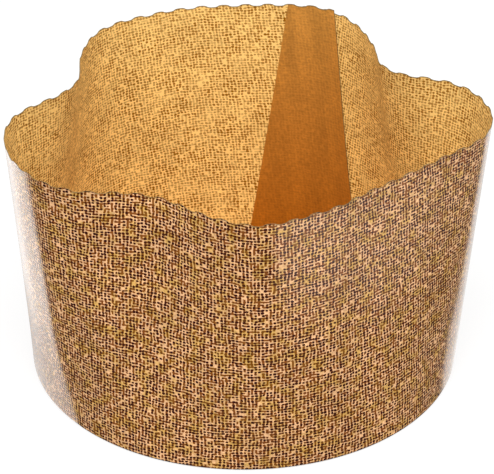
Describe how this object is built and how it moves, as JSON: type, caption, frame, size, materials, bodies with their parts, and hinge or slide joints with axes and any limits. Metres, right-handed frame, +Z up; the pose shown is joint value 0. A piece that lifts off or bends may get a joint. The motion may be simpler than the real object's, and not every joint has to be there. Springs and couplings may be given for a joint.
{
  "type": "panettone paper mold",
  "caption": "Tall round baking mold of thin printed paper: a wavy open wall with a scalloped edge and a lapped glued seam, folded in under a flat round base.",
  "frame": {"origin": "on the plane the mold stands on, under the middle of its box; the base disc's axis is about 2 mm to -X and 1 mm to -Y of it", "axes": "+Z up out of the open top, -Y towards the front of the picture, +X to its right; the glued lap is at the back right"},
  "size_m": [0.1866, 0.1738, 0.1108],
  "materials": {
    "printed_paper": "glossy coated paper with a fine brown woven-look print outside, golden and plain inside",
    "base_paper": "matt golden-brown baking paper"
  },
  "bodies": {
    "root": {"side_wall": "printed_paper", "base_disc": "base_paper"}
  },
  "joints": []
}
